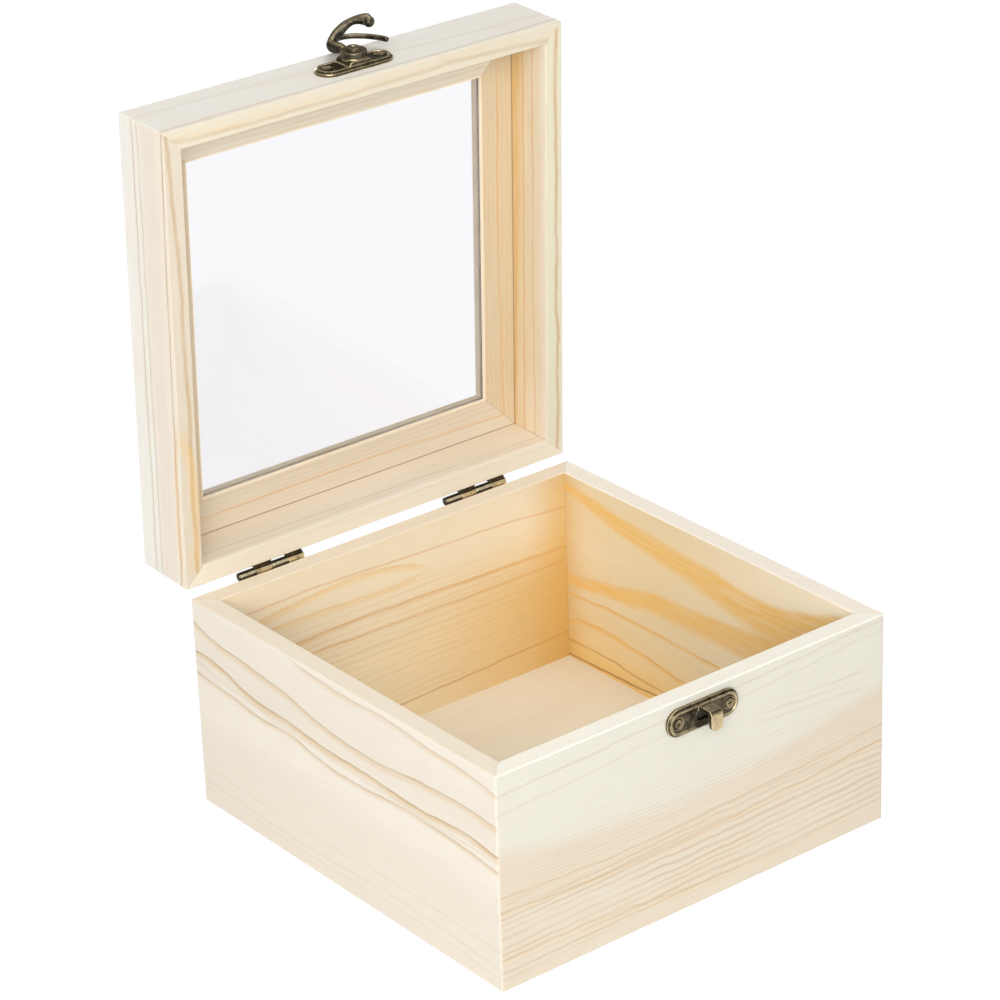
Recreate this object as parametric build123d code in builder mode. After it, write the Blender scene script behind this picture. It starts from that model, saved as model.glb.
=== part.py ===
# Clear-lid wooden box: a square pine box with mitred walls, a hinged lid whose top frame
# holds a clear pane, two small back hinges, and a swing hook with its keeper on the front.
#
# Millimetres, +Z up. The origin is the middle of the base's underside. The front faces -Y
# and the hinges are at the back, +Y. The lid stands open at its stop.
import os
from math import cos, radians, sin

from build123d import *

# Box
box_width = 150.0
box_depth = 150.0
base_height = 70.5
wall_thickness = 6.5
corner_radius = 0.8
edge_easing = 0.4

# Bottom panel, let into a rebate round the inside of the base walls
panel_thickness = 3.0
rebate_depth = 3.25
panel_clearance = 0.15

# Lid: low walls with a flat mitred frame glued on top, grooved for the pane
lid_wall_height = 17.0
frame_width = 19.0
frame_thickness = 6.0
inner_lip = 1.2
pane_thickness = 2.0
groove_depth = 4.0
pane_clearance = 0.1
rim_gap = 0.3
lid_open_angle = 88.0

# Hinges
left_hinge_inset = 31.5
right_hinge_inset = 37.3
hinge_length = 24.4
knuckle_count = 4
knuckle_gap = 0.15
barrel_radius = 1.35
barrel_clearance = 0.55
pin_radius = 0.7
pin_clearance = 0.05
pin_overhang = 0.2
pin_easing = 0.15
leaf_thickness = 0.8
leaf_height = 12.5
leaf_corner = 1.0
notch_clearance = 0.35
stop_reach = 3.4
stop_root = 5.0
stop_width = 3.0
stop_clearance = 0.1
hinge_screw_spread = 16.0
hinge_screw_rise = 8.0

# Hook and keeper plates, each with a bevelled rim round a sunken face
plate_length = 27.5
plate_width = 9.0
plate_thickness = 1.6
plate_bevel = 0.8
plate_rim = 0.5
plate_sink = 0.25
plate_centre = 1.5
plate_screw_spread = 19.8
hook_rise = 9.6
keeper_drop = 6.9

# Riser and collar on the hook plate, and the rivet through them
riser_length = 6.4
riser_ramp = 1.2
riser_height = 1.2
collar_radius = 3.6
collar_height = 0.5
rivet_radius = 1.3
rivet_clearance = 0.05
rivet_foot_radius = 2.0
rivet_foot_height = 0.6
rivet_head_radius = 2.4
rivet_head_height = 0.8
rivet_dimple_radius = 1.2
rivet_dimple_depth = 0.4

# Swing hook: a ring on the rivet, an arm, a locking finger and a horn to push
ring_radius = 4.2
ring_thickness = 1.8
ring_easing = 0.4
ring_clearance = 0.1
arm_angle = 102.5
arm_reach = 8.6
arm_lift = 0.3
arm_radius = 1.8
arm_root_reach = 3.5
arm_root_radius = 0.85
finger_level = 3.75
finger_radius = 0.85
finger_start_angle = 52.0
finger_end_angle = 14.5
horn_start_angle = 98.0
horn_end_angle = 26.0
horn_reach = 10.6
horn_spread = 0.9
horn_rise = 6.7
horn_curl = 110.0
horn_root_radius = 1.7
horn_neck_radius = 1.4
horn_tip_radius = 1.5
horn_knob_radius = 1.75

# Keeper's tongue, and the mould's hole in the plate behind it
tongue_width = 4.3
tongue_thickness = 1.3
tongue_stand_off = 7.2
tongue_top = 3.3
tongue_drop = 3.2
tongue_bend = 1.8
tongue_corner = 1.8
catch_rise = 0.9
mould_hole_length = 6.0
mould_hole_width = 3.6
mould_hole_margin = 0.2

# Screws
screw_radius = 0.9
screw_length = 5.0
screw_clearance = 0.05
screw_head_radius = 1.9
screw_head_depth = 0.7
screw_dome = 0.35
recess_length = 2.2
recess_width = 0.5
recess_depth = 0.35

# Places that follow from the sizes
half_width = box_width / 2
half_depth = box_depth / 2
hinge_centres = (left_hinge_inset - half_width, half_width - right_hinge_inset)
hinge_offset = barrel_radius + barrel_clearance
hinge_axis = Vector(0, half_depth + hinge_offset, base_height + rim_gap / 2)
latch_reach = hook_rise + rim_gap + keeper_drop - catch_rise
plate_face = plate_thickness - plate_sink
riser_face = plate_thickness + riser_height
ring_base = riser_face + collar_height + ring_clearance
ring_top = ring_base + ring_thickness
ring_middle = ring_base + ring_thickness / 2
knuckle_pitch = hinge_length / knuckle_count
knuckle_length = knuckle_pitch - knuckle_gap
leaf_start = barrel_radius + notch_clearance
lid_back = Vector(0, cos(radians(lid_open_angle)), -sin(radians(lid_open_angle)))
lid_up = Vector(0, sin(radians(lid_open_angle)), cos(radians(lid_open_angle)))
lid_centre = hinge_axis - lid_back * (half_depth + hinge_offset) + lid_up * (rim_gap / 2)
half_lid_gap = radians(180 - lid_open_angle) / 2

# The lid's rim plane, the seat of its top frame and the seat of the pane
base_floor = Plane.XY
lid_rim = Plane(origin=lid_centre, x_dir=(1, 0, 0), z_dir=lid_up)
lid_frame_seat = lid_rim.offset(lid_wall_height)
pane_seat = lid_frame_seat.offset(inner_lip)

# Faces that carry the hook and its keeper: x to the right, y up the closed box, z outwards
hook_face = Plane(
    origin=lid_centre - lid_back * half_depth + lid_up * hook_rise + Vector(plate_centre, 0, 0),
    x_dir=(1, 0, 0),
    z_dir=-lid_back,
)
keeper_face = Plane(
    origin=(plate_centre, -half_depth, base_height - keeper_drop),
    x_dir=(1, 0, 0),
    z_dir=(0, -1, 0),
)


def local_point(face, x, y, z):
    """A point given in a face's own directions, in the box's frame."""
    return face.from_local_coords(Vector(x, y, z))


def moved(face, x, y, z):
    """The same face with its origin moved along its own directions."""
    return Plane(origin=local_point(face, x, y, z), x_dir=face.x_dir, z_dir=face.z_dir)


def side_view(face, x):
    """The plane across a face at x, drawn with the face's y to the right and z up."""
    return Plane(origin=local_point(face, x, 0, 0), x_dir=face.y_dir, z_dir=face.x_dir)


def pin_end(face, x):
    """The plane across a hinge pin at x along the leaf, with its origin on the pin's axis."""
    return Plane(origin=local_point(face, x, 0, hinge_offset), x_dir=face.y_dir, z_dir=face.x_dir)


def end_view(face, y):
    """The plane across a face at y, drawn with the face's x to the right and z up."""
    return Plane(origin=local_point(face, 0, y, 0), x_dir=face.x_dir, z_dir=-face.y_dir)


def leaf_face(centre, away, outwards):
    """The back face under a hinge leaf: y points away from the pin, which is level with the origin."""
    foot = hinge_axis + Vector(centre, 0, 0) - outwards * hinge_offset
    return Plane(origin=foot, x_dir=away.cross(outwards), z_dir=outwards)


base_leaf_faces = [leaf_face(centre, Vector(0, 0, -1), Vector(0, 1, 0)) for centre in hinge_centres]
lid_leaf_faces = [leaf_face(centre, lid_up, lid_back) for centre in hinge_centres]

# Screw places, in the directions of the face that carries each plate or leaf
plate_screws = [(side * plate_screw_spread / 2, 0) for side in (-1, 1)]
hinge_screws = [(side * hinge_screw_spread / 2, hinge_screw_rise) for side in (-1, 1)]


def finish(piece, name):
    """Labels a finished piece and writes its file."""
    piece.part.label = name
    export_step(piece.part, f"parts/{name}.step")


def disc(face, radius, height):
    """A round disc standing on a face."""
    with BuildSketch(face) as outline:
        Circle(radius)
    extrude(outline.sketch, amount=height)


def cone(low_face, low_radius, high_face, high_radius, mode=Mode.ADD):
    """A round cone or hole that runs from one circle to another."""
    with BuildSketch(low_face) as low_end:
        Circle(low_radius)
    with BuildSketch(high_face) as high_end:
        Circle(high_radius)
    loft([low_end.sketch, high_end.sketch], mode=mode)


def drill(face, spots, radius, depth):
    """Round holes straight into a face."""
    with BuildSketch(face) as holes:
        with Locations(*spots):
            Circle(radius)
    extrude(holes.sketch, amount=-depth, mode=Mode.SUBTRACT)


def pilot_holes(face, spots, seat_height):
    """Holes in the wood for screws whose heads sit this high above its face."""
    drill(face, spots, screw_radius + screw_clearance, screw_length - seat_height + screw_clearance)


def countersinks(face, spots, thickness):
    """Screw holes through metal of this thickness, opened out for the screws' heads."""
    drill(face, spots, screw_radius + screw_clearance, thickness)
    for x, y in spots:
        seat = moved(face, x, y, 0)
        cone(
            seat.offset(-screw_head_depth),
            screw_radius + screw_clearance,
            seat,
            screw_head_radius + screw_clearance,
            Mode.SUBTRACT,
        )


def screw(seat):
    """A small oval-head wood screw with a cross recess, its head let into the seat."""
    crown = seat.offset(screw_dome)
    disc(seat.offset(-screw_length), screw_radius, screw_length - screw_head_depth)
    cone(seat.offset(-screw_head_depth), screw_radius, seat, screw_head_radius)
    cone(seat, screw_head_radius, crown, screw_head_radius - 2 * screw_dome)
    with BuildSketch(crown) as cross:
        Rectangle(recess_length, recess_width)
        Rectangle(recess_width, recess_length)
    extrude(cross.sketch, amount=-recess_depth, mode=Mode.SUBTRACT)


os.makedirs("parts", exist_ok=True)

# Mitred boards
SIDES = ("front", "right", "back", "left")


def corners(inset):
    """The corners of the box's outline, moved in by an inset, from front left round to back left."""
    x = half_width - inset
    y = half_depth - inset
    return [(-x, -y), (x, -y), (x, y), (-x, y)]


def mitred_board(floor, side, board_width, height):
    """One board of a mitred square, cut at 45 degrees where it meets its neighbours."""
    outer = corners(0)
    inner = corners(board_width)
    first = SIDES.index(side)
    second = (first + 1) % len(SIDES)
    with BuildSketch(floor) as outline:
        with BuildLine():
            Polyline(outer[first], outer[second], inner[second], inner[first], close=True)
        make_face()
        RectangleRounded(box_width, box_depth, corner_radius, mode=Mode.INTERSECT)
    extrude(outline.sketch, amount=height)


def ease_long_edges(board, up, level):
    """Rounds a board's outer and inner long edges at its lowest (0) or highest (-1) level."""
    along = board.faces().sort_by(Face.area)[-1].edges().sort_by(Edge.length)[-1] % 0.5
    long_ones = board.edges().filter_by(Axis((0, 0, 0), tuple(along)))
    fillet(long_ones.group_by(Axis((0, 0, 0), tuple(up)))[level], edge_easing)


def recess(floor, inset, depth):
    """A square pocket inside the walls, this far in from the outside."""
    with BuildSketch(floor) as pocket:
        Rectangle(box_width - 2 * inset, box_depth - 2 * inset)
    extrude(pocket.sketch, amount=depth, mode=Mode.SUBTRACT)


# Base walls
for side in SIDES:
    with BuildPart() as base_wall:
        mitred_board(base_floor, side, wall_thickness, base_height)
        ease_long_edges(base_wall, Vector(0, 0, 1), -1)
        recess(base_floor, wall_thickness - rebate_depth, panel_thickness)
        if side == "front":
            pilot_holes(keeper_face, plate_screws, plate_face)
        if side == "back":
            for face in base_leaf_faces:
                pilot_holes(face, hinge_screws, leaf_thickness)
    finish(base_wall, f"base_wall_{side}")

# Bottom panel
with BuildPart() as bottom_panel:
    with BuildSketch(base_floor):
        panel_inset = wall_thickness - rebate_depth + panel_clearance
        Rectangle(box_width - 2 * panel_inset, box_depth - 2 * panel_inset)
    extrude(amount=panel_thickness)
finish(bottom_panel, "bottom_panel")

# Lid walls
for side in SIDES:
    with BuildPart() as lid_wall:
        mitred_board(lid_rim, side, wall_thickness, lid_wall_height)
        ease_long_edges(lid_wall, lid_up, 0)
        if side == "front":
            pilot_holes(hook_face, plate_screws, plate_face)
        if side == "back":
            for face in lid_leaf_faces:
                pilot_holes(face, hinge_screws, leaf_thickness)
    finish(lid_wall, f"lid_wall_{side}")

# Top frame, grooved round its inner edge for the pane
for side in SIDES:
    with BuildPart() as frame_rail:
        mitred_board(lid_frame_seat, side, frame_width, frame_thickness)
        ease_long_edges(frame_rail, lid_up, -1)
        recess(pane_seat, frame_width - groove_depth, pane_thickness + 2 * pane_clearance)
    finish(frame_rail, f"lid_frame_rail_{side}")

with BuildPart() as clear_pane:
    with BuildSketch(pane_seat.offset(pane_clearance)):
        pane_inset = frame_width - groove_depth + pane_clearance
        Rectangle(box_width - 2 * pane_inset, box_depth - 2 * pane_inset)
    extrude(amount=pane_thickness)
finish(clear_pane, "clear_pane")


# Hinges: both leaves of a hinge are alike, and their knuckles alternate along the pin
def hinge_leaf(face, first_knuckle):
    """A leaf with every second knuckle of the barrel, and a lug that stops the lid's swing."""
    starts = [
        knuckle * knuckle_pitch + (knuckle_gap - hinge_length) / 2
        for knuckle in range(first_knuckle, knuckle_count, 2)
    ]
    with BuildSketch(face) as outline:
        with Locations((0, leaf_start)):
            Rectangle(hinge_length, leaf_height - leaf_start, align=(Align.CENTER, Align.MIN))
        fillet(outline.vertices().group_by(Axis.Y)[-1], leaf_corner)
        with Locations(*[(start, 0) for start in starts]):
            Rectangle(knuckle_length, leaf_height / 2, align=Align.MIN)
    extrude(outline.sketch, amount=leaf_thickness)
    for start in starts:
        disc(pin_end(face, start), barrel_radius, knuckle_length)
    stop_lug(face)
    drill(pin_end(face, hinge_length / 2), [(0, 0)], pin_radius + pin_clearance, hinge_length)
    countersinks(moved(face, 0, 0, leaf_thickness), hinge_screws, leaf_thickness)


def stop_lug(face):
    """A lug beside the barrel whose sloping face meets the other leaf's when the lid is open."""

    def on_slope(reach):
        across = reach * cos(half_lid_gap) + stop_clearance / 2 * sin(half_lid_gap)
        out = reach * sin(half_lid_gap) - stop_clearance / 2 * cos(half_lid_gap)
        return (across, hinge_offset + out)

    with BuildSketch(side_view(face, -stop_width / 2)) as outline:
        with BuildLine():
            Polyline(
                (leaf_start, leaf_thickness / 2),
                (stop_root, leaf_thickness / 2),
                (stop_root, leaf_thickness),
                on_slope(stop_reach),
                on_slope(leaf_start),
                (leaf_start, hinge_offset),
                close=True,
            )
        make_face()
    extrude(outline.sketch, amount=stop_width)


for hinge, base_face, lid_face in zip(("left", "right"), base_leaf_faces, lid_leaf_faces):
    with BuildPart() as base_leaf:
        hinge_leaf(base_face, 0)
    finish(base_leaf, f"{hinge}_hinge_base_leaf")

    with BuildPart() as lid_leaf:
        hinge_leaf(lid_face, knuckle_count % 2)
    finish(lid_leaf, f"{hinge}_hinge_lid_leaf")

    with BuildPart() as hinge_pin:
        pin_length = hinge_length + 2 * pin_overhang
        disc(pin_end(base_face, -pin_length / 2), pin_radius, pin_length)
        fillet(hinge_pin.edges().filter_by(GeomType.CIRCLE), pin_easing)
    finish(hinge_pin, f"{hinge}_hinge_pin")

# Hinge screws
for body, leaf_faces in (("base", base_leaf_faces), ("lid", lid_leaf_faces)):
    with BuildPart() as screws:
        for face in leaf_faces:
            for x, y in hinge_screws:
                screw(moved(face, x, y, leaf_thickness))
    finish(screws, f"{body}_hinge_screws")


# Hook plate and keeper plate
def oblong_plate(plate, face):
    """An oblong plate with rounded ends, a bevelled rim and a sunken face."""
    inner_inset = plate_bevel + plate_rim
    with BuildSketch(face) as outline:
        SlotOverall(plate_length, plate_width)
    extrude(outline.sketch, amount=plate_thickness)
    top = plate.faces().sort_by(Axis(face.origin, face.z_dir))[-1]
    chamfer(top.edges(), plate_bevel)
    with BuildSketch(face.offset(plate_face)) as sunken:
        SlotOverall(plate_length - 2 * inner_inset, plate_width - 2 * inner_inset)
    extrude(sunken.sketch, amount=plate_sink, mode=Mode.SUBTRACT)


with BuildPart() as hook_plate:
    oblong_plate(hook_plate, hook_face)
    half_riser = riser_length / 2
    with BuildSketch(end_view(hook_face, 0)):
        with BuildLine():
            Polyline(
                (-half_riser - riser_ramp, plate_face / 2),
                (half_riser + riser_ramp, plate_face / 2),
                (half_riser + riser_ramp, plate_thickness),
                (half_riser, riser_face),
                (-half_riser, riser_face),
                (-half_riser - riser_ramp, plate_thickness),
                close=True,
            )
        make_face()
    extrude(amount=plate_width / 2 - plate_bevel, both=True)
    with BuildSketch(hook_face.offset(plate_face)):
        Circle(collar_radius)
    extrude(amount=riser_face - plate_face + collar_height)
    drill(hook_face.offset(ring_base), [(0, 0)], rivet_radius + rivet_clearance, ring_base)
    drill(
        hook_face.offset(rivet_foot_height + rivet_clearance),
        [(0, 0)],
        rivet_foot_radius + rivet_clearance,
        rivet_foot_height + rivet_clearance,
    )
    countersinks(hook_face.offset(plate_face), plate_screws, plate_face)
finish(hook_plate, "hook_plate")

with BuildPart() as hook_rivet:
    with BuildSketch(hook_face):
        Circle(rivet_foot_radius)
    extrude(amount=rivet_foot_height)
    with BuildSketch(hook_face):
        Circle(rivet_radius)
    extrude(amount=ring_top + ring_clearance)
    with BuildSketch(hook_face.offset(ring_top + ring_clearance)):
        Circle(rivet_head_radius)
    extrude(amount=rivet_head_height, taper=20)
    drill(
        hook_face.offset(ring_top + ring_clearance + rivet_head_height),
        [(0, 0)],
        rivet_dimple_radius,
        rivet_dimple_depth,
    )
finish(hook_rivet, "hook_rivet")

with BuildPart() as keeper_plate:
    oblong_plate(keeper_plate, keeper_face)
    with BuildSketch(side_view(keeper_face, -tongue_width / 2)) as tongue_outline:
        with BuildLine():
            Polyline(
                (tongue_top, plate_face / 2),
                (tongue_top, tongue_stand_off),
                (-tongue_drop, tongue_stand_off),
                (-tongue_drop, tongue_stand_off - tongue_thickness),
                (tongue_top - tongue_thickness, tongue_stand_off - tongue_thickness),
                (tongue_top - tongue_thickness, plate_face / 2),
                close=True,
            )
        make_face()
        outer_bend = tongue_outline.vertices().group_by(Axis.Y)[-1].sort_by(Axis.X)[-1]
        inner_bend = tongue_outline.vertices().group_by(Axis.Y)[-2].sort_by(Axis.X)[-1]
        fillet(outer_bend, tongue_bend)
        fillet(inner_bend, tongue_bend - tongue_thickness)
    extrude(amount=tongue_width)
    tip = keeper_plate.faces().filter_by(Axis((0, 0, 0), tuple(keeper_face.y_dir))).filter_by(
        lambda flat: keeper_face.to_local_coords(flat.center()).Z > plate_thickness
    )
    tip_edges = tip.sort_by(Axis((0, 0, 0), tuple(keeper_face.y_dir)))[0].edges()
    fillet(tip_edges.filter_by(Axis((0, 0, 0), tuple(keeper_face.z_dir))), tongue_corner)
    mould_hole_level = tongue_top - tongue_thickness - mould_hole_margin - mould_hole_width / 2
    with BuildSketch(moved(keeper_face, 0, mould_hole_level, 0)):
        SlotOverall(mould_hole_length, mould_hole_width)
    extrude(amount=plate_thickness, mode=Mode.SUBTRACT)
    countersinks(keeper_face.offset(plate_face), plate_screws, plate_face)
finish(keeper_plate, "keeper_plate")

for name, plate in (("hook_plate_screws", hook_face), ("keeper_plate_screws", keeper_face)):
    with BuildPart() as screws:
        for x, y in plate_screws:
            screw(moved(plate, x, y, plate_face))
    finish(screws, name)


# Swing hook
def round_bar(face, points, radii, across):
    """A round bar along a smooth line through points of a face, with a radius at each point."""
    places = [local_point(face, *point) for point in points]
    spine = Spline(*places, mode=Mode.PRIVATE)
    sections = []
    for place, radius in zip(places, radii):
        along = spine.tangent_at(spine.param_at_point(place))
        across = (across - along * across.dot(along)).normalized()
        with BuildSketch(Plane(origin=place, x_dir=across, z_dir=along)) as section:
            Circle(radius)
        sections.append(section.sketch)
    loft(sections)


def ball(face, point, radius):
    """A ball that rounds off the end of a bar."""
    with Locations(Location(local_point(face, *point))):
        Sphere(radius)


def polar(reach, angle, level):
    """A point of the hook, measured round its rivet from the right, with the lid closed."""
    return (reach * cos(radians(angle)), reach * sin(radians(angle)), level)


def horn_point(share):
    """A point of the horn, which turns right and rises from the arm's end (0) to its own tip (1)."""
    reach = horn_reach - horn_spread * (1 - share) ** 3
    angle = horn_start_angle + (horn_end_angle - horn_start_angle) * share
    return polar(reach, angle, ring_middle + horn_rise * sin(radians(horn_curl * share)))


arm_points = [
    polar(arm_root_reach, arm_angle, ring_middle),
    polar((arm_root_reach + arm_reach) / 2, arm_angle, ring_middle),
    polar(arm_reach, arm_angle, ring_middle + arm_lift),
]
arm_radii = [arm_root_radius, arm_radius, arm_radius]
horn_points = [horn_point(share) for share in (0.2, 0.45, 0.72, 1)]
horn_radii = [horn_root_radius, horn_neck_radius, horn_neck_radius, horn_tip_radius]
finger_root = polar(arm_reach, arm_angle, finger_level)
finger_tip = polar(latch_reach, finger_end_angle, finger_level)
finger_turn = finger_start_angle - finger_end_angle

with BuildPart() as swing_hook:
    with BuildSketch(hook_face.offset(ring_base)):
        Circle(ring_radius)
    extrude(amount=ring_thickness)
    fillet(swing_hook.edges().filter_by(GeomType.CIRCLE), ring_easing)
    round_bar(hook_face, arm_points + horn_points, arm_radii + horn_radii, hook_face.x_dir)
    ball(hook_face, horn_points[-1], horn_knob_radius)
    with BuildLine(hook_face.offset(finger_level)) as finger_path:
        lock_arc = CenterArc((0, 0), latch_reach, finger_end_angle, finger_turn)
        TangentArc(lock_arc @ 1, local_point(hook_face, *finger_root), tangent=lock_arc % 1)
    with BuildSketch(Plane(origin=lock_arc @ 0, x_dir=hook_face.z_dir, z_dir=lock_arc % 0)):
        Circle(finger_radius)
    sweep(path=finger_path.line)
    ball(hook_face, finger_tip, finger_radius)
    drill(hook_face.offset(ring_top), [(0, 0)], rivet_radius + rivet_clearance, ring_thickness)
finish(swing_hook, "swing_hook")
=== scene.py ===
# Looks of the clear-lid wooden box: pine, plywood, a clear pane and antique bronze hardware,
# with the floor, the lamps and the camera. Places are in metres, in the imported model's frame.
# The materials lay out their patterns in millimetres.
from functools import cached_property
from math import cos, pi, sin

import bpy
from mathutils import Matrix, Vector


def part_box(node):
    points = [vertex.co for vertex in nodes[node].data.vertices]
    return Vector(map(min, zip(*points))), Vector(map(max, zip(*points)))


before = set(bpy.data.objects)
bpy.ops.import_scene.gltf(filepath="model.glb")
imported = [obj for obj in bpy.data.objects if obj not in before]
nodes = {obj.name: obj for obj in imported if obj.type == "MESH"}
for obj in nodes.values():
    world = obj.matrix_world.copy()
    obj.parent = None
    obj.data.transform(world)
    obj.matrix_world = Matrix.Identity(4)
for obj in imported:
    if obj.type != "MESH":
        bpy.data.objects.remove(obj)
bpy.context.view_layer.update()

# Sizes of the box that the materials follow, in millimetres
BOX = 150.0
HALF = BOX / 2
WALL = 6.5
BASE_HEIGHT = 70.5
LID_WALL = 17.0
LID_SPAN = LID_WALL + 8
RAIL_WIDTH = 19.0
RAIL_THICKNESS = 6.0
OPEN = 88 * pi / 180
HINGE_OFFSET = 1.9
RIM_GAP = 0.3
KEEPER_X = 1.5
KEEPER_HOLE = 63.6

# Directions, with those of the open lid, and the middle of its rim
X, Y, Z = Vector((1, 0, 0)), Vector((0, 1, 0)), Vector((0, 0, 1))
NOWHERE = Vector((0, 0, 0))
LID_UP = Vector((0, sin(OPEN), cos(OPEN)))
LID_BACK = Vector((0, cos(OPEN), -sin(OPEN)))
HINGE = Vector((0, HALF + HINGE_OFFSET, BASE_HEIGHT + RIM_GAP / 2))
LID_CENTRE = HINGE - LID_BACK * (HALF + HINGE_OFFSET) + LID_UP * (RIM_GAP / 2)

# A growth line wider than BROAD is a soft band, and others are sharp. Each kind has the share
# of the width at which it starts to fade, the span of its edge, and how strongly the edge shows.
BROAD = 5
BAND = (0.6, (-1.2, 1.6), 0.06)
SHARP = (0.35, (-0.3, 0.1), 0.5)

# The core of a line's edge: how far below the edge it lies, and its half widths, inner and outer
CORE = (0.2, 0.1, 0.55)

# Lengths over which a line, or a group of fine lines, starts and ends along the board
LINE_ENDS = 12
FINE_ENDS = 15

# Ranges that masks cross: from a board's skin inwards, on to its far face, and heights past
# either end of any board
SKIN = (0.5, 2)
FAR_FACE = (2, 4)
ABOVE_ALL = (200, 201)
BELOW_ALL = (-2, -1)

# Half widths, inner and outer, of the joints and narrow rims, and the depths over which a
# joint gets clearer in the corner behind a wall
JOINT = (0.04, 0.22)
RIM = (0.1, 0.5)
CORNER = (WALL - 1.0, WALL - 0.2)

# How far growth lines wander in long and in short waves, and how strong fibres and pores are
LONG_WAVES = 3.0
SHORT_WAVES = 2.2
FIBRES = 0.3
PORES = 0.16


# Colours
def linear(value):
    value = value / 255
    if value <= 0.04045:
        return value / 12.92
    return ((value + 0.055) / 1.055) ** 2.4


def colour(red, green, blue):
    return (linear(red), linear(green), linear(blue), 1.0)


# Wood shades
CREAM = colour(250, 242, 229)
PALE = colour(246, 236, 221)
IVORY = colour(246, 244, 236)
PEACH = colour(249, 231, 207)
ROSE = colour(220, 208, 189)
MILK = colour(221, 219, 207)
BLUSH = colour(242, 232, 219)
FLAX = colour(243, 236, 224)
OAT = colour(238, 229, 215)
WHEAT = colour(241, 227, 200)
CORN = colour(238, 220, 184)
SAND = colour(236, 229, 212)
CHAFF = colour(255, 239, 206)
WHEY = colour(255, 247, 226)
# Painted light on the rails' inner edges, which lie behind the pane
LIP_PAINTED_LIGHT = colour(255, 240, 214)
SAFFRON = colour(242, 198, 114)
DUN = colour(228, 204, 166)
UMBER = colour(150, 122, 84)
FLAME = colour(218, 178, 102)
GOLD = colour(240, 200, 122)
HONEY = colour(222, 170, 98)
AMBER = colour(212, 152, 84)
BROWN = colour(166, 114, 62)
DARK = colour(112, 76, 44)
# Painted shade seen through the keeper's opening
OPENING_SHADE = colour(34, 26, 18)

# The shade at a growth line's edge, for each shade of its body
DEEPER = {
    DUN: UMBER, FLAME: AMBER, GOLD: HONEY, SAFFRON: HONEY, HONEY: AMBER, AMBER: BROWN, BROWN: DARK,
}

# Bronze shades
NIGHT = colour(50, 44, 32)
OLIVE = colour(106, 97, 74)
# Bright bronze for worn edges and for painted highlights
BRASS_WEAR_AND_HIGHLIGHT = colour(248, 225, 176)
GLINT = colour(255, 238, 196)
TAN = colour(184, 162, 126)
# Dark patina of the hinges, and the painted shade under the keeper's tongue
DARK_PATINA_AND_SHADE = colour(44, 34, 20)
EARTH = colour(66, 52, 32)
INK = colour(40, 37, 30)
MOSS = colour(106, 99, 82)
# Painted shade in the screws' slots
RECESS_SHADE = colour(22, 18, 12)

# Radius of the bronze's rounded edges, which are painted bright as wear and as a painted highlight, in
# metres, and the scales of its two noises
BEVEL_RADIUS = 0.00045
METAL_GRAIN = 1400.0
METAL_BLOTCH = 380.0


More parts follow.
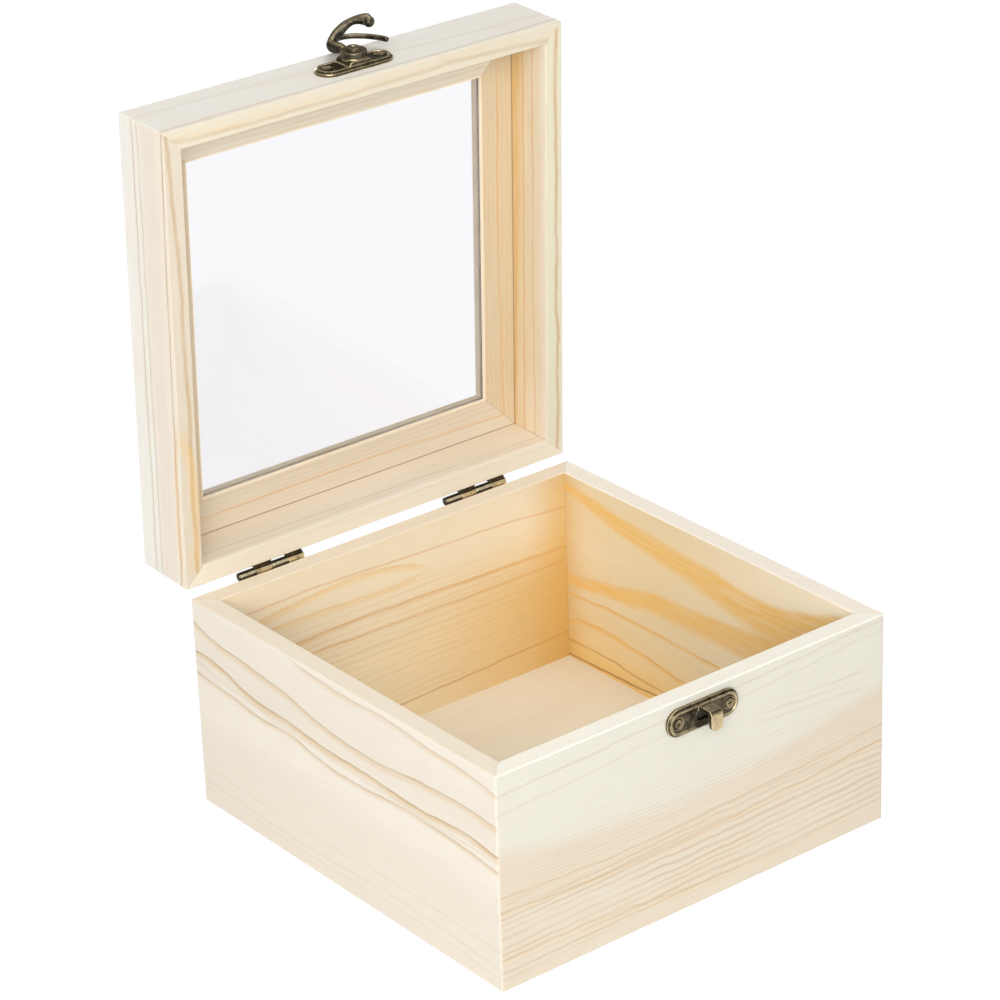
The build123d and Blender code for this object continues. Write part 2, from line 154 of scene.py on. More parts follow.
# Node trees
class Graph:
    """A material's node tree, with short calls for the nodes that it needs."""

    def __init__(self, name):
        self.material = bpy.data.materials.new(name)
        self.material.use_nodes = True
        self.tree = self.material.node_tree
        self.tree.nodes.clear()

    @cached_property
    def point(self):
        """The point of the surface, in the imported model's frame."""
        return self.node("ShaderNodeTexCoord").outputs["Object"]

    def node(self, kind, **settings):
        made = self.tree.nodes.new(kind)
        for key, value in settings.items():
            setattr(made, key, value)
        return made

    def feed(self, socket, value):
        """Links another node's output to a socket, or sets its value."""
        if isinstance(value, bpy.types.NodeSocket):
            self.tree.links.new(value, socket)
        elif value is not None:
            socket.default_value = value

    def math(self, operation, first, second=None):
        made = self.node("ShaderNodeMath", operation=operation)
        self.feed(made.inputs[0], first)
        self.feed(made.inputs[1], second)
        return made.outputs[0]

    def add(self, first, second):
        return self.math("ADD", first, second)

    def minus(self, first, second):
        return self.math("SUBTRACT", first, second)

    def times(self, first, second):
        return self.math("MULTIPLY", first, second)

    def most(self, first, second):
        return self.math("MAXIMUM", first, second)

    def between(self, operation, first, second):
        """A number from two vectors, such as their dot product or distance."""
        made = self.node("ShaderNodeVectorMath", operation=operation)
        self.feed(made.inputs[0], first)
        self.feed(made.inputs[1], second)
        return made.outputs["Value"]

    def along(self, direction, start):
        """Millimetres from start along a direction."""
        return self.add(self.between("DOT_PRODUCT", self.point, direction * 1000), -direction.dot(start))

    def lay_board(self, grain, across, depth, start):
        """Sets u along the grain, v across the board and w into it, in millimetres from start."""
        self.u = self.along(grain, start)
        self.v = self.along(across, start)
        self.w = self.along(depth, start)

    def vector(self, x, y, z):
        made = self.node("ShaderNodeCombineXYZ")
        for socket, value in zip(made.inputs, (x, y, z)):
            self.feed(socket, value)
        return made.outputs[0]

    def noise(self, vector, scale=1.0, detail=2.0, roughness=0.5):
        made = self.node("ShaderNodeTexNoise")
        self.feed(made.inputs["Vector"], vector)
        made.inputs["Scale"].default_value = scale
        made.inputs["Detail"].default_value = detail
        made.inputs["Roughness"].default_value = roughness
        return made.outputs["Fac"]

    def cloud(self, scales, seed, detail=2.0, roughness=0.5):
        """Noise over the board's own directions, with how fast it changes along each."""
        u, v, w = (self.times(way, scale) for way, scale in zip((self.u, self.v, self.w), scales))
        return self.noise(self.vector(u, v, self.add(w, seed)), detail=detail, roughness=roughness)

    def spread(self, value, low, high, new_low=0.0, new_high=1.0, smooth=True):
        """Maps a range to another, clamped, and smoothly unless told otherwise."""
        made = self.node("ShaderNodeMapRange", interpolation_type="SMOOTHSTEP" if smooth else "LINEAR")
        for socket, item in zip(made.inputs, (value, low, high, new_low, new_high)):
            self.feed(socket, item)
        return made.outputs["Result"]

    def fall(self, value, low, high, strength=1.0):
        """Strength below a range, 0 above it."""
        return self.spread(value, low, high, strength, 0.0)

    def near(self, value, middle, inner, outer):
        """1 near a value, 0 away from it."""
        return self.fall(self.math("ABSOLUTE", self.add(value, -middle)), inner, outer)

    def stretch(self, value, first, last, ends):
        """1 from first to last, 0 before and after, with its two ends inside."""
        start = self.spread(value, first, first + ends)
        return self.times(start, self.fall(value, last - ends, last))

    def ramp(self, value, stops):
        """Colours at places along a value from 0 to 1."""
        made = self.node("ShaderNodeValToRGB")
        elements = made.color_ramp.elements
        while len(elements) > 1:
            elements.remove(elements[-1])
        for index, (place, shade) in enumerate(stops):
            element = elements[0] if index == 0 else elements.new(place)
            element.position = place
            element.color = shade
        self.feed(made.inputs["Fac"], value)
        return made.outputs["Color"]

    def curve(self, value, points):
        """A smooth curve through points, from 0 to 1 both ways."""
        made = self.node("ShaderNodeFloatCurve")
        line = made.mapping.curves[0]
        while len(line.points) > 2:
            line.points.remove(line.points[-1])
        for place, height in points[1:-1]:
            line.points.new(place, height)
        line.points[0].location = points[0]
        line.points[-1].location = points[-1]
        made.mapping.update()
        self.feed(made.inputs["Value"], value)
        return made.outputs[0]

    def mix(self, share, first, second, blend="MIX"):
        """Mixes two colours; sockets 6 and 7 and output 2 are the mix node's colour ones."""
        made = self.node("ShaderNodeMix", data_type="RGBA", blend_type=blend)
        self.feed(made.inputs["Factor"], share)
        self.feed(made.inputs[6], first)
        self.feed(made.inputs[7], second)
        return made.outputs[2]

    def bump(self, height, strength, distance, normal=None):
        made = self.node("ShaderNodeBump")
        made.inputs["Strength"].default_value = strength
        made.inputs["Distance"].default_value = distance
        self.feed(made.inputs["Height"], height)
        self.feed(made.inputs["Normal"], normal)
        return made.outputs["Normal"]

    def surface(self, shader_output):
        output = self.node("ShaderNodeOutputMaterial")
        self.tree.links.new(shader_output, output.inputs["Surface"])
        return self.material

    def finish(self, **inputs):
        """The material, with the surface shader's inputs by name."""
        shader = self.node("ShaderNodeBsdfPrincipled")
        for name, value in inputs.items():
            self.feed(shader.inputs[name.replace("_", " ")], value)
        return self.surface(shader.outputs["BSDF"])


def dress(material, *names):
    """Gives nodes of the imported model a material."""
    for name in names:
        for slot in nodes[name].material_slots:
            slot.material = material


# Pine
def growth_line(graph, line, share, place, height, shown, shade):
    """Paints a growth line: its edge's points (millimetres along, across), its width, how
    strong it is, its shade and, in some, the stretch of the board that has it. The width may
    be a pair, for the board's two ends. The shade is deepest at the edge and fades below it."""
    points, width, strength, tint = line[:4]
    first, last = width if isinstance(width, tuple) else (width, width)
    fade_from, edge_span, core_strength = BAND if last > BROAD else SHARP
    edge = graph.curve(share, [(along / BOX, across / height) for along, across in points])
    thickness = graph.add(graph.times(share, last - first), first)
    below = graph.minus(graph.times(edge, height), place)
    fade = graph.fall(graph.math("DIVIDE", below, thickness), fade_from, 1.0)
    body = graph.times(fade, graph.spread(below, *edge_span))
    core = graph.times(graph.near(below, *CORE), core_strength)
    uneven = graph.cloud((0.05, 0.7, 0.5), seed=3.0, detail=3.0, roughness=0.6)
    uneven = graph.times(graph.spread(uneven, 0.3, 0.6, new_low=0.6), shown)
    for stretch in line[4:]:
        uneven = graph.times(uneven, graph.stretch(graph.u, *stretch, LINE_ENDS))
    body = graph.times(graph.times(body, uneven), strength)
    core = graph.times(graph.times(core, uneven), strength)
    shade = graph.mix(body, shade, tint)
    return graph.most(body, core), graph.mix(core, shade, DEEPER[tint])


def fine_lines(graph, place, low, high, pitch, strength, stretch, seed):
    """Close growth lines of uneven strength between two heights, as a mask."""
    drift = graph.noise(graph.vector(graph.times(graph.u, 0.01), graph.times(place, 0.12), seed))
    turns = graph.add(graph.times(place, 2 * pi / pitch), graph.times(drift, 12.0))
    waves = graph.spread(graph.math("SINE", turns), -1.0, 1.0, smooth=False)
    ripple = graph.math("POWER", waves, 3.5)
    above = graph.spread(place, low - 2, low + 2)
    inside = graph.times(above, graph.fall(place, high - 3, high + 3))
    if stretch:
        inside = graph.times(inside, graph.stretch(graph.u, *stretch, FINE_ENDS))
    uneven = graph.cloud((0.02, 0.22, 0.1), seed + 7, roughness=0.6)
    uneven = graph.spread(uneven, 0.32, 0.62, new_low=0.25)
    return graph.times(graph.times(graph.times(ripple, inside), uneven), strength)


def pine(name, grain, across, depth, start, height, ground, patch, lines=(), fine=(), bow=(),
         sway=1.0, slope=0.15, tone=HONEY, seed=0.0, seams=(), fibres=1.0, shaded_hollow=None, painted_light_and_shade=(),
         rim=None, face=None, deep_lines=1.0):
    """Planed pine. From start, u runs along the grain, v across the board and w into it.

    ground: shades at heights v, with soft patches of the shade patch; bow: its rise along u
    lines: growth lines, as growth_line takes them; deep_lines: their strength on the far face
    fine: close lines in the shade tone, as low and high v, pitch, strength, rise over the
    board's length, and a stretch of u or None
    sway, slope: how far the lines wander, and how much they shift with depth
    seams: planes where boards meet, as normal, point, and strength near and deep in the corner
    painted_light_and_shade: painted light and painted shade near the surface, as ranges of u and v, shade
    and strength
    face: the board's far face, as ranges of w and v, shade and strength
    rim: the narrow edge at a height, as v and shade; shaded_hollow: a painted shade in an opening, as a dark
    square's u, v and reach
    fibres: how strong the fibres and pores are
    A range of u may run backwards, and then the painting fades forwards.
    """
    graph = Graph(name)
    graph.lay_board(grain, across, depth, start)
    share = graph.times(graph.u, 1 / BOX)

    # Growth lines wander slowly along the board, and shift with depth
    long = graph.add(graph.cloud((0.02, 0.03, 0.03), seed, detail=3.0), -0.5)
    short = graph.add(graph.cloud((0.07, 0.08, 0.1), seed + 5, detail=3.0, roughness=0.6), -0.5)
    wander = graph.add(graph.times(long, sway * LONG_WAVES), graph.times(short, sway * SHORT_WAVES))
    place = graph.add(graph.add(graph.v, wander), graph.times(graph.w, slope))
    level = place
    if bow:
        rise = graph.curve(share, [(along / BOX, 0.5 + up / height) for along, up in bow])
        level = graph.minus(place, graph.times(graph.add(rise, -0.5), height))

    # Ground colour, with soft patches
    shade = graph.ramp(graph.times(level, 1 / height), [(at / height, tint) for at, tint in ground])
    patches = graph.cloud((0.02, 0.09, 0.09), seed + 3)
    shade = graph.mix(graph.spread(patches, 0.4, 0.75, new_high=0.4), shade, patch)
    # Painted light and shade near the inner face: painted shade darkens inner corners, and painted light
    # brightens parts that other walls shade
    for stretch, heights, tint, strength in painted_light_and_shade:
        painted_amount = graph.times(graph.spread(graph.u, *stretch), graph.fall(graph.v, *heights, strength))
        shade = graph.mix(graph.times(painted_amount, graph.fall(graph.w, *SKIN)), shade, tint)
    if face:
        depths, heights, tint, strength = face
        deep = graph.spread(graph.w, *depths, new_high=strength)
        turned = graph.times(deep, graph.spread(graph.v, *heights))
        shade = graph.mix(turned, shade, tint)
    if rim:
        at, tint = rim
        shade = graph.mix(graph.near(graph.v, at, *RIM), shade, tint)

    # Growth lines, with a mask of the late wood for the relief
    late = 0.0
    shown = graph.spread(graph.w, *FAR_FACE, 1.0, deep_lines)
    for line in lines:
        mask, shade = growth_line(graph, line, share, place, height, shown, shade)
        late = graph.most(late, mask)
    for low, high, pitch, strength, lean, stretch in fine:
        leaning = graph.minus(place, graph.times(share, lean))
        mask = fine_lines(graph, leaning, low, high, pitch, strength, stretch, seed)
        shade = graph.mix(mask, shade, tone)
        late = graph.most(late, mask)

    # Fibres and short pores
    fibre = graph.cloud((0.07, 3.4, 3.4), seed=0.0, detail=4.0, roughness=0.7)
    deeper = graph.mix(1.0, shade, PEACH, "MULTIPLY")
    shade = graph.mix(graph.spread(fibre, 0.35, 0.7, new_high=FIBRES * fibres), shade, deeper)
    pores = graph.spread(graph.cloud((0.30, 5.5, 5.5), seed=11.0), 0.64, 0.74)
    shade = graph.mix(graph.times(pores, PORES * fibres), shade, BROWN)

    # Thin joints with the neighbouring boards, clearer deep in the corner
    for normal, point, outer, inner in seams:
        gap = graph.math("ABSOLUTE", graph.along(normal, point))
        clear = graph.spread(graph.w, *CORNER, outer, inner)
        shade = graph.mix(graph.times(graph.fall(gap, *JOINT), clear), shade, DARK)
    # Painted shade: a dark square where an opening shows the wood behind it
    if shaded_hollow:
        along, up, reach = shaded_hollow
        wide = graph.near(graph.u, along, reach - 0.3, reach)
        inside = graph.times(wide, graph.near(graph.v, up, reach - 0.3, reach))
        inside = graph.times(inside, graph.fall(graph.w, 0.5, 1.0, 0.97))
        shade = graph.mix(inside, shade, OPENING_SHADE)

    # Relief: fibres and late wood stand up, and pores sink
    relief = graph.add(graph.times(fibre, 0.6), graph.times(late, 0.35))
    relief = graph.minus(relief, graph.times(pores, 0.35))
    return graph.finish(
        Base_Color=shade,
        Roughness=graph.spread(fibre, 0.3, 0.7, 0.5, 0.66),
        Normal=graph.bump(relief, strength=0.3, distance=0.00012),
        Specular_IOR_Level=0.35,
    )


# Base walls: u runs along the wall, v up from the floor
base_seams = (((X - Y).normalized(), NOWHERE, 0.14, 0.6), ((X + Y).normalized(), NOWHERE, 0.14, 0.6))

# The back and right walls start at their inner faces, so their far faces are the box's outside
outside = (FAR_FACE, BELOW_ALL, OAT, 0.75)
dress(pine(
    "pine_base_left", -Y, Z, X, Vector((-HALF, HALF, 0)), BASE_HEIGHT,
    ground=((0, OAT), (24, OAT), (34, FLAX), (40, FLAX), (50, OAT), (70.5, FLAX)),
    lines=(
        (((0, 72), (40, 71), (60, 69), (80, 68), (100, 68.6), (120, 67.3), (140, 66.2), (150, 64.4)),
         2.6, 0.5, DUN, (48, 170)),
        (((0, 63.6), (12, 60.2), (30, 58.5), (50, 56.4), (62, 53.9), (90, 52.2), (120, 54.8), (150, 54.1)),
         3.0, 0.68, DUN),
        (((0, 53.2), (10, 52.8), (30, 48.2), (50, 47.2), (66, 45.8), (90, 46), (110, 45.2), (130, 46),
          (150, 44.5)), 2.6, 0.95, DUN),
        (((0, 50), (30, 46), (66, 43.8), (110, 43.2), (150, 42.6)), 1.0, 0.2, DUN),
        (((0, 45.7), (20, 44.3), (32, 42.8), (50, 43.2), (62, 41.1), (80, 40.2), (110, 42.2), (150, 39.6)),
         2.2, 0.6, DUN),
        (((0, 13), (50, 12), (100, 14), (150, 13)), 1.2, 0.12, DUN),
        (((0, 8), (50, 7), (100, 9), (150, 7)), 1.2, 0.15, DUN),
        (((0, 5), (50, 4.5), (100, 5.5), (150, 4)), 1.0, 0.12, DUN),
    ),
    sway=0.6, seams=base_seams, patch=OAT, rim=(BASE_HEIGHT, colour(243, 233, 214)),
), "base_wall_left")
dress(pine(
    "pine_base_front", X, Z, Y, Vector((-HALF, -HALF, 0)), BASE_HEIGHT,
    ground=((0, ROSE), (20, ROSE), (40, ROSE), (45, MILK), (70.5, MILK)),
    bow=((0, 4), (50, -5), (100, -4), (130, 1), (150, 4)),
    lines=(
        (((0, 10), (40, 9.5), (80, 6), (150, 8)), 3.5, 0.3, DUN),
        (((0, 26), (60, 24), (150, 28)), 1.6, 0.55, DUN),
        (((0, 31), (60, 29), (150, 33)), 1.0, 0.4, DUN),
        (((0, 64), (60, 66), (150, 69)), 1.0, 0.12, BROWN),
        (((0, 58), (60, 61), (150, 66)), 1.0, 0.08, BROWN),
    ),
    fine=(
        (4, 27, 2.3, 0.42, 2.0, None),
        (24, 44, 1.3, 0.24, 4.0, None),
        (56, 66, 3.0, 0.2, -10.0, (92, 150)),
    ),
    sway=0.9, seed=5.0, seams=base_seams, patch=MILK, tone=colour(190, 148, 98),
    # The keeper's opening gets painted shade, and the wall's top is painted much lighter than its face, as
    # painted light on the top
    shaded_hollow=(HALF + KEEPER_X, KEEPER_HOLE, 2.6), rim=(BASE_HEIGHT, colour(251, 248, 236)),
), "base_wall_front")
dress(pine(
    "pine_base_back", X, Z, Y, Vector((-HALF, HALF - WALL, 0)), BASE_HEIGHT,
    ground=((0, CHAFF), (28, CHAFF), (50, WHEAT), (70.5, WHEAT)),
    lines=(
        (((0, 62), (42, 62.8), (77, 61.5), (113, 60.3), (150, 58)), 1.0, 0.35, HONEY),
        (((0, 57), (20, 58.6), (38, 60.3), (60, 61.1), (77, 58.8), (88, 54.5)), 3.0, 0.5, GOLD, (-9, 90)),
        (((0, 53.5), (33, 54.3), (53, 53.5), (77, 52.9), (88, 54)), 2.6, 0.4, GOLD, (-9, 90)),
        (((0, 45), (34, 45.9), (76, 46.1), (100, 45.5), (150, 43.5)), 1.8, 0.5, HONEY),
        (((0, 40), (41, 40.5), (76, 39.9), (112, 39.3), (150, 39.5)), 1.4, 0.4, HONEY),
        (((0, 9), (60, 9.5), (96, 10.7), (130, 12.4), (150, 12.6)), 1.0, 0.4, AMBER),
    ),
    fine=((10, 52, 2.2, 0.25, 0.0, None),),
    sway=0.6, seed=9.0, seams=base_seams, patch=WHEAT, rim=(BASE_HEIGHT, colour(240, 226, 204)),
    # Painted shade, growing towards the inner corner with the right wall and towards the floor
    painted_light_and_shade=(((50, 145), (30, 62), FLAME, 0.85), ((124, 144), ABOVE_ALL, FLAME, 0.75)),
    face=outside,
), "base_wall_back")
dress(pine(
    "pine_base_right", -Y, Z, X, Vector((HALF - WALL, HALF, 0)), BASE_HEIGHT,
    ground=((0, GOLD), (8, colour(243, 212, 148)), (26, CORN), (70.5, CORN)),
    lines=(
        (((0, 69), (20, 65.8), (50, 62.8), (80, 61), (100, 59.2), (120, 61.5), (135, 66), (150, 70)),
         (4, 21), 0.9, SAFFRON),
        (((0, 33), (10, 34.8), (30, 38.4), (50, 42), (70, 43.4), (90, 45.6), (120, 49), (150, 55)),
         (4.5, 17), 0.85, SAFFRON),
        (((0, 26), (22, 28.2), (39, 28.9), (73, 27.8), (150, 26)), 1.8, 0.7, GOLD),
        (((0, 14), (6, 16.3), (16, 19.1), (39, 18.7), (62, 16.6), (150, 15)), 2.6, 0.8, GOLD),
        (((0, 9.4), (21, 9.8), (53, 8.3), (150, 8)), 1.0, 0.5, AMBER),
        (((0, 3.6), (20, 4), (30, 4.4), (50, 5.7), (150, 6)), 0.8, 0.7, BROWN),
    ),
    sway=0.9, seed=13.0, seams=base_seams, patch=WHEAT, rim=(BASE_HEIGHT, CREAM),
    # Painted light towards the wall's front end, and painted shade in its back corner
    painted_light_and_shade=(((40, 145), ABOVE_ALL, WHEY, 0.75), ((18, 3), ABOVE_ALL, FLAME, 0.6)),
    face=outside, deep_lines=0.3,
), "base_wall_right")

# Lid walls and top frame: v runs from the lid's rim towards the frame on the walls, and from
# the outer edge inwards on the rails
lid_corner = LID_CENTRE - X * HALF - LID_BACK * HALF
lid_sides = {
    "front": (X, LID_BACK, lid_corner, 5.0),
    "back": (X, -LID_BACK, lid_corner + LID_BACK * BOX, 4.0),
    "left": (LID_BACK, X, lid_corner, 4.0),
    "right": (LID_BACK, -X, lid_corner + X * BOX, 5.0),
}
mitres = (
    ((X - LID_BACK).normalized(), LID_CENTRE, 0.08, 0.3),
    ((X + LID_BACK).normalized(), LID_CENTRE, 0.08, 0.3),
)
frame_joint = (LID_UP, LID_CENTRE + LID_UP * LID_WALL, 0.15, 0.6)
wall_rim = {
    "front": colour(226, 218, 198),
    "back": colour(237, 228, 210),
    "left": colour(221, 211, 194),
    "right": colour(228, 223, 199),
}
wall_ground = {
    "front": ((0, IVORY), (LID_SPAN, IVORY)),
    "back": ((0, PALE), (8, colour(234, 222, 202)), (LID_SPAN, colour(231, 217, 194))),
    "left": ((0, PALE), (4, PALE), (6, BLUSH), (11, BLUSH), (13.5, IVORY), (LID_SPAN, IVORY)),
    "right": ((0, OAT), (4, OAT), (7, colour(231, 216, 188)), (LID_SPAN, colour(226, 203, 162))),
}
wall_lines = {
    "front": (
        (((0, 16), (60, 15), (110, 11), (150, 9)), 1.2, 0.1, BROWN),
        (((0, 2.0), (60, 2.4), (100, 2), (150, 3)), 1.4, 0.4, DUN),
    ),
    "back": (
        (((0, 10), (70, 9), (150, 8)), 1.2, 0.3, DUN),
        (((0, 6), (70, 6.5), (150, 6)), 1.2, 0.25, DUN),
    ),
    "left": (
        (((0, 0.8), (30, 1.7), (90, 2.2), (150, 2.8)), 0.8, 0.7, DUN),
        (((0, 1.6), (60, 2.6), (95, 1.4), (112, 3.0), (130, 3.4), (150, 2.2)), 2.4, 0.4, GOLD, (92, 150)),
        (((0, 14.0), (70, 13.6), (150, 13.2)), 1.4, 0.35, DUN),
        (((0, 16.6), (70, 16.4), (150, 16.2)), 0.8, 0.5, DUN),
    ),
    "right": (
        (((0, 1.3), (150, 1.4)), 0.6, 0.45, AMBER),
        (((0, 20.6), (150, 20.6)), (9.0, 1.5), 0.7, FLAME),
        (((0, 15), (70, 15), (150, 15.5)), 0.8, 0.5, HONEY),
        (((0, 10), (70, 10.5), (150, 10)), 1.4, 0.3, HONEY),
    ),
}
rail_ground = {"front": IVORY, "back": PALE, "left": IVORY, "right": PALE}
rail_strip = {
    "front": colour(228, 221, 204),
    "back": colour(220, 209, 189),
    "left": colour(220, 205, 180),
    "right": colour(216, 199, 169),
}
for side, (grain, inward, corner, seed) in lid_sides.items():
    dress(pine(
        f"pine_lid_wall_{side}", grain, LID_UP, inward, corner, LID_SPAN,
        ground=wall_ground[side], lines=wall_lines[side], fine=((0, LID_SPAN, 2.3, 0.07, 0.0, None),),
        seed=17.0 + seed, seams=(*mitres, frame_joint), slope=0.5, sway=0.5, patch=PALE,
        rim=(0, wall_rim[side]),
    ), f"lid_wall_{side}")
    wall_joint = (inward, corner + inward * (WALL + 0.2), 0.0, 1.0)
    dress(pine(
        f"pine_rail_{side}", grain, inward, -LID_UP, corner + LID_UP * (LID_WALL + RAIL_THICKNESS), LID_SPAN,
        ground=((0, rail_ground[side]), (LID_SPAN, rail_ground[side])),
        lines=((((0, 15), (70, 16), (150, 14)), 1.2, 0.35, HONEY),),
        fine=((9, LID_SPAN, 1.7, 0.3, 0.0, None),),
        seed=23.0 + seed, seams=(*mitres, wall_joint), slope=0.5, sway=0.5, patch=PALE,
        # The rail's inner edge, behind the pane, is painted pale as painted light
        rim=(RAIL_WIDTH, LIP_PAINTED_LIGHT), face=((4, 5.5), (4, 6), rail_strip[side], 0.97),
    ), f"lid_frame_rail_{side}")

# Plywood floor of the box
dress(pine(
    "plywood_panel", X, Y, Z, Vector((-HALF, -HALF, 0)), BOX,
    ground=((0, SAND), (BOX, SAND)), seed=31.0, slope=0.0, patch=colour(230, 218, 197), fibres=0.7,
), "bottom_panel")

# Clear pane
dress(Graph("clear_acrylic").finish(
    Base_Color=colour(240, 240, 243), Roughness=0.02, IOR=1.49, Transmission_Weight=1.0,
), "clear_pane")


# Antique bronze
def bronze(name, dark, middle, bright, edges=1.0, painted_highlights=(), shaded_hollow=None, painted_shade=None):
    """Bronze with a blotchy patina, painted shade in its sunk parts, and edges painted bright, partly as
    wear and partly as a painted highlight.

    painted_highlights: painted highlights on faces that look one way, as the direction they look, the range
    of its cosine, strength, and the way, start and depth past which they are painted
    shaded_hollow: the way, start and depth past which it is sunk, where it is painted as shade;
    painted_shade: a painted shade's middle and radii
    """
    graph = Graph(name)
    grain = graph.noise(graph.point, METAL_GRAIN, detail=4.0, roughness=0.65)
    blotch = graph.noise(graph.point, METAL_BLOTCH, detail=3.0, roughness=0.6)
    shade = graph.mix(graph.spread(graph.add(blotch, graph.times(grain, 0.3)), 0.45, 0.9), dark, middle)
    looking = graph.node("ShaderNodeTexCoord").outputs["Normal"]
    # Painted highlights on the faces that look towards the light
    for direction, low, high, strength, (way, start, depth) in painted_highlights:
        mask = graph.between("DOT_PRODUCT", looking, direction)
        mask = graph.spread(mask, low, high, new_high=strength)
        mask = graph.times(mask, graph.spread(blotch, 0.3, 0.6, new_low=0.6))
        mask = graph.times(mask, graph.spread(graph.along(way, start), depth, depth + 0.2))
        shade = graph.mix(mask, shade, bright)

    # Edges, where the rounded normal turns away from the face's own, painted bright: partly wear, partly a
    # painted highlight
    rounded = graph.node("ShaderNodeBevel", samples=6)
    rounded.inputs["Radius"].default_value = BEVEL_RADIUS
    flat = graph.node("ShaderNodeNewGeometry").outputs["Normal"]
    bend = graph.between("DOT_PRODUCT", rounded.outputs["Normal"], flat)
    edge = graph.spread(bend, 0.994, 0.96, new_high=edges)
    shade = graph.mix(graph.times(edge, graph.spread(blotch, 0.3, 0.55, new_low=0.55)), shade, bright)
    # Painted shade around a spot, under a part that overhangs it
    if painted_shade:
        spot, inner, outer = painted_shade
        away = graph.between("DISTANCE", graph.point, spot / 1000)
        painted_dark = graph.fall(away, inner / 1000, outer / 1000, 0.9)
        painted_dark = graph.times(painted_dark, graph.fall(graph.along(-Y, spot), 0.3, 0.5))
        shade = graph.mix(painted_dark, shade, DARK_PATINA_AND_SHADE)
    # Painted shade in a screw head's sunk slot
    if shaded_hollow:
        way, start, depth = shaded_hollow
        shade = graph.mix(graph.spread(graph.along(way, start), depth, depth + 0.15), shade, RECESS_SHADE)
    return graph.finish(
        Base_Color=shade, Metallic=0.85, Roughness=graph.spread(grain, 0.3, 0.7, 0.26, 0.42),
        Normal=graph.bump(
            graph.add(grain, blotch), strength=0.2, distance=0.00006, normal=rounded.outputs["Normal"],
        ),
    )


everywhere = (Z, NOWHERE, -1000)
keeper_front = Vector((0, -HALF, 0))
keeper_screws_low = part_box("keeper_plate_screws")[0] * 1000
hook_screws_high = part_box("hook_plate_screws")[1] * 1000

dress(bronze(
    "keeper_bronze", NIGHT, OLIVE, BRASS_WEAR_AND_HIGHLIGHT,
    # Painted highlights on the front and top of the keeper's tongue
    painted_highlights=(
        ((-0.1, -0.99, 0.1), 0.75, 0.97, 0.65, (-Y, keeper_front, 3.0)),
        ((0, -0.1, 0.99), 0.75, 0.97, 0.3, (-Y, keeper_front, 2.4)),
    ),
    # Painted shade on the plate under the keeper's tongue
    painted_shade=(Vector((KEEPER_X - 0.5, -HALF - 1.6, KEEPER_HOLE - 1.5)), 2.6, 4.2),
), "keeper_plate")
dress(bronze(
    # Painted shade in the screw slots
    "keeper_screw_bronze", NIGHT, TAN, BRASS_WEAR_AND_HIGHLIGHT, 0.6, shaded_hollow=(Y, keeper_screws_low, 0.12),
), "keeper_plate_screws")
dress(bronze("hook_plate_bronze", NIGHT, OLIVE, BRASS_WEAR_AND_HIGHLIGHT), "hook_plate")
dress(bronze(
    # Painted shade in the screw slots
    "hook_screw_bronze", NIGHT, TAN, BRASS_WEAR_AND_HIGHLIGHT, 0.6, shaded_hollow=(-Z, hook_screws_high, 0.2),
), "hook_plate_screws")
dress(bronze(
    # Painted highlight on the hook's upper faces
    "hook_bronze", INK, MOSS, BRASS_WEAR_AND_HIGHLIGHT, 0.45, painted_highlights=(((-0.3, -0.35, 0.89), 0.8, 1.0, 0.3, everywhere),),
), "hook_rivet", "swing_hook")
dress(bronze(
    "base_hinge_bronze", DARK_PATINA_AND_SHADE, EARTH, GLINT, 0.1,
    # Painted highlight along the front of the hinge barrels
    painted_highlights=(((0, -0.86, 0.51), 0.925, 0.975, 1.0, everywhere),),
), "left_hinge_base_leaf", "right_hinge_base_leaf", "left_hinge_pin", "right_hinge_pin")
dress(bronze(
    "lid_hinge_bronze", DARK_PATINA_AND_SHADE, EARTH, BRASS_WEAR_AND_HIGHLIGHT, 0.1,
    # Painted highlight on the lid leaves' knuckles
    painted_highlights=(((0, -0.99, 0.1), 0.7, 0.8, 1.0, (-Z, HINGE, -1.15)),),
), "left_hinge_lid_leaf", "right_hinge_lid_leaf")
dress(bronze("hinge_screw_bronze", DARK_PATINA_AND_SHADE, TAN, BRASS_WEAR_AND_HIGHLIGHT, 0.5), "base_hinge_screws", "lid_hinge_screws")

# Floor: plain white to the camera, apart from a share that keeps the object's shadow
FLOOR_REACH = 6.0
FLOOR_GREY = 0.85
FLOOR_GLOW = 1.08
FLOOR_WHITE_SHARE = 0.88

graph = Graph("white_floor")
shader = graph.node("ShaderNodeBsdfDiffuse")
shader.inputs["Color"].default_value = (FLOOR_GREY, FLOOR_GREY, FLOOR_GREY, 1)
glow = graph.node("ShaderNodeEmission")
glow.inputs["Strength"].default_value = FLOOR_GLOW
rays = graph.node("ShaderNodeLightPath")
bent = graph.most(rays.outputs["Is Glossy Ray"], rays.outputs["Is Transmission Ray"])
blend = graph.node("ShaderNodeMixShader")
graph.feed(blend.inputs[0], graph.most(graph.times(rays.outputs["Is Camera Ray"], FLOOR_WHITE_SHARE), bent))
graph.feed(blend.inputs[1], shader.outputs[0])
graph.feed(blend.inputs[2], glow.outputs[0])

floor_mesh = bpy.data.meshes.new("floor")
corners = [(-FLOOR_REACH, -FLOOR_REACH, 0), (FLOOR_REACH, -FLOOR_REACH, 0),
           (FLOOR_REACH, FLOOR_REACH, 0), (-FLOOR_REACH, FLOOR_REACH, 0)]
floor_mesh.from_pydata(corners, [], [(0, 1, 2, 3)])
floor_mesh.materials.append(graph.surface(blend.outputs[0]))
floor = bpy.data.objects.new("floor", floor_mesh)
bpy.context.scene.collection.objects.link(floor)

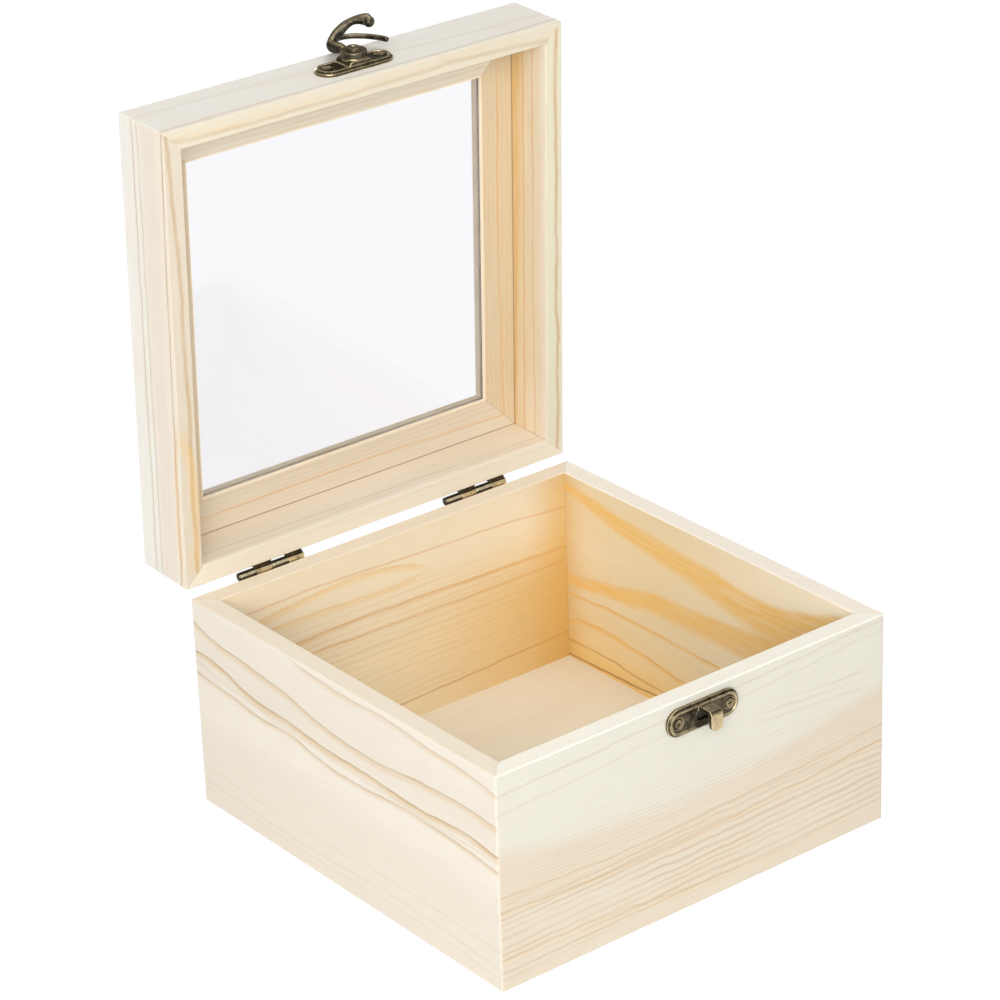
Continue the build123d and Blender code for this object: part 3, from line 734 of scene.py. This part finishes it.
# World: white where it is seen, softer as light
SKY_LIGHT = 0.39
world = bpy.data.worlds.new("studio")
bpy.context.scene.world = world
world.use_nodes = True
sky = world.node_tree
sky.nodes.clear()
rays = sky.nodes.new("ShaderNodeLightPath")
seen = sky.nodes.new("ShaderNodeMath")
seen.operation = "MAXIMUM"
sky.links.new(rays.outputs["Is Camera Ray"], seen.inputs[0])
sky.links.new(rays.outputs["Is Transmission Ray"], seen.inputs[1])
level = sky.nodes.new("ShaderNodeMapRange")
sky.links.new(seen.outputs[0], level.inputs["Value"])
level.inputs["To Min"].default_value = SKY_LIGHT
level.inputs["To Max"].default_value = 1.0
background = sky.nodes.new("ShaderNodeBackground")
sky.links.new(level.outputs[0], background.inputs["Strength"])
output = sky.nodes.new("ShaderNodeOutputWorld")
sky.links.new(background.outputs[0], output.inputs["Surface"])

# Lamps, aimed at the middle of the box: place, size in metres and power in watts
LAMP_AIM = Vector((0, 0.02, 0.09))
lamps = {
    "front_lamp": ((-0.82, -1.12, 0.72), 1.0, 18.6),
    "side_lamp": ((-1.3, -0.7, 1.2), 1.2, 4.2),
    "top_lamp": ((0.1, -0.2, 1.8), 1.4, 8.6),
    "back_lamp": ((0.3, 1.4, 0.2), 0.5, 6),
}
for name, (place, size, power) in lamps.items():
    light = bpy.data.lights.new(name, "AREA")
    light.shape = "SQUARE"
    light.size = size
    light.energy = power
    lamp = bpy.data.objects.new(name, light)
    lamp.location = place
    lamp.rotation_euler = (LAMP_AIM - Vector(place)).to_track_quat("-Z", "Y").to_euler()
    bpy.context.scene.collection.objects.link(lamp)

# Camera, at the photograph's place: where it stands, the way it looks and its own up
CAMERA_PLACE = Vector((-0.640905, -0.812159, 0.593417))
CAMERA_LOOK = Vector((0.55421421, 0.7152171, -0.42580642))
CAMERA_UP = Vector((0.28897491, 0.31441394, 0.90423303))
camera_data = bpy.data.cameras.new("camera")
camera_data.lens = 137.16
camera_data.sensor_width = 36.0
camera_data.clip_start = 0.01
camera = bpy.data.objects.new("camera", camera_data)
turn = Matrix((CAMERA_LOOK.cross(CAMERA_UP), CAMERA_UP, -CAMERA_LOOK)).transposed()
camera.matrix_world = Matrix.Translation(CAMERA_PLACE) @ turn.to_4x4()
bpy.context.scene.collection.objects.link(camera)
bpy.context.scene.camera = camera
bpy.context.scene.view_settings.view_transform = "Standard"
